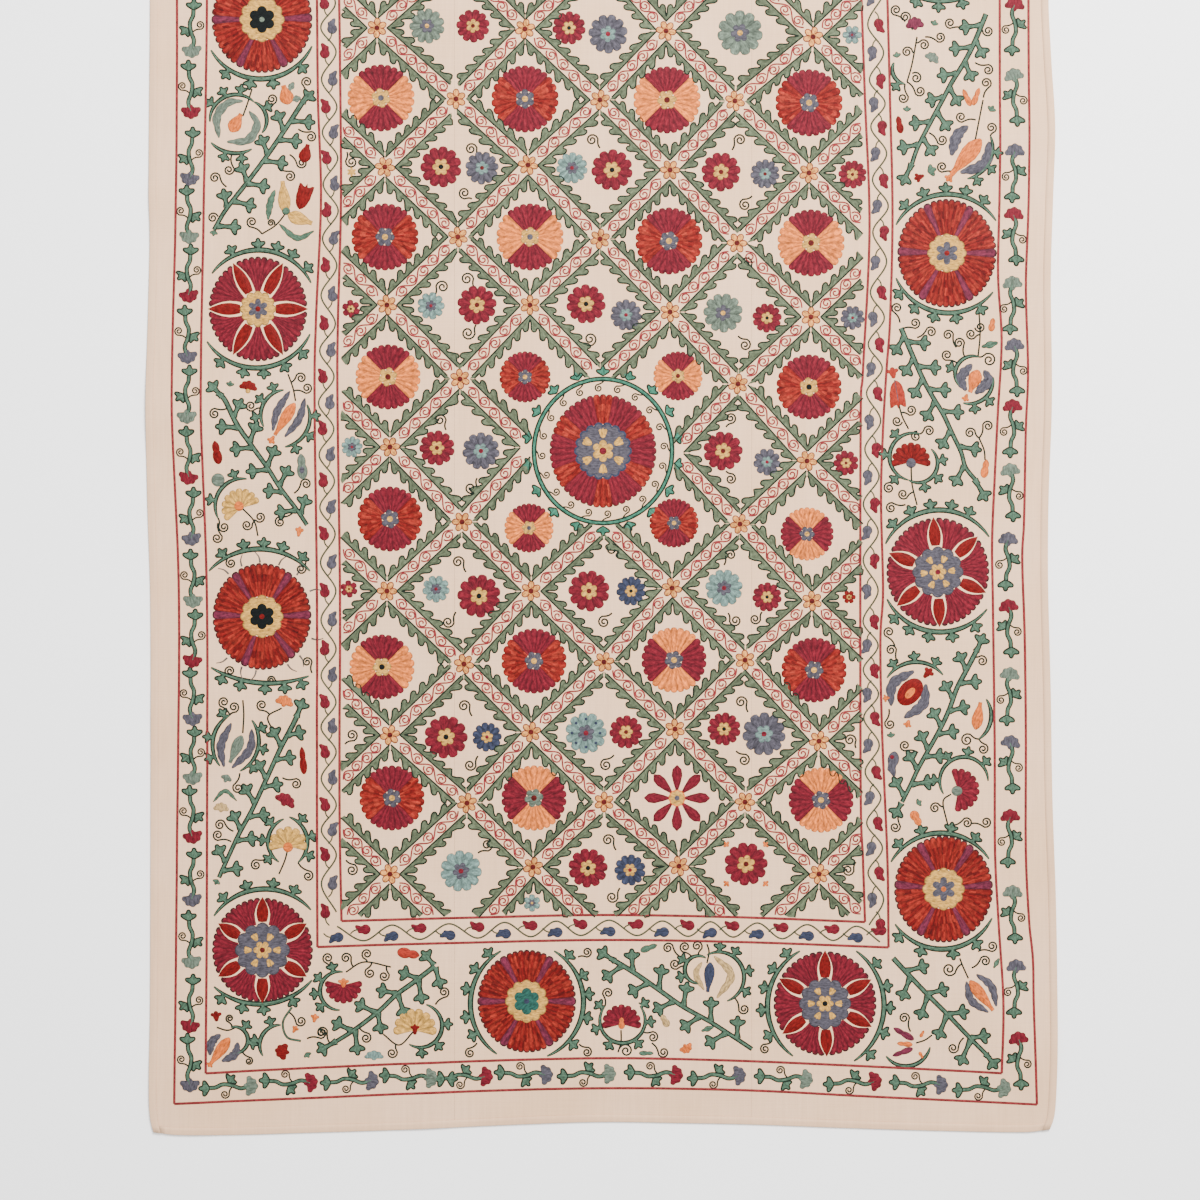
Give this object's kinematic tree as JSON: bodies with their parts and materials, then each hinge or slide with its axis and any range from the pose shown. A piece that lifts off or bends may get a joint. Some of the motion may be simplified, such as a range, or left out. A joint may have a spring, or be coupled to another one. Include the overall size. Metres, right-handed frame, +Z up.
{
  "type": "suzani embroidered textile",
  "caption": "Large rectangular embroidered cloth of joined loom widths, edged with folded strips, lying flat.",
  "frame": {"origin": "centre of the cloth's underside, on the surface it lies on", "axes": "+X across the loom widths, +Y along the cloth towards its top end, +Z up out of the embroidered face"},
  "size_m": [1.6137, 2.4138, 0.0073],
  "materials": {
    "ground_cloth": "plain handwoven cotton, matt, embroidered in silk",
    "edge_strip": "plain woven cotton strip, matt, slightly lighter than the ground"
  },
  "bodies": {
    "root": {"panel_left": "ground_cloth", "panel_middle": "ground_cloth", "panel_right": "ground_cloth", "binding_left": "edge_strip", "binding_right": "edge_strip", "binding_top": "edge_strip", "binding_bottom": "edge_strip"}
  },
  "joints": []
}
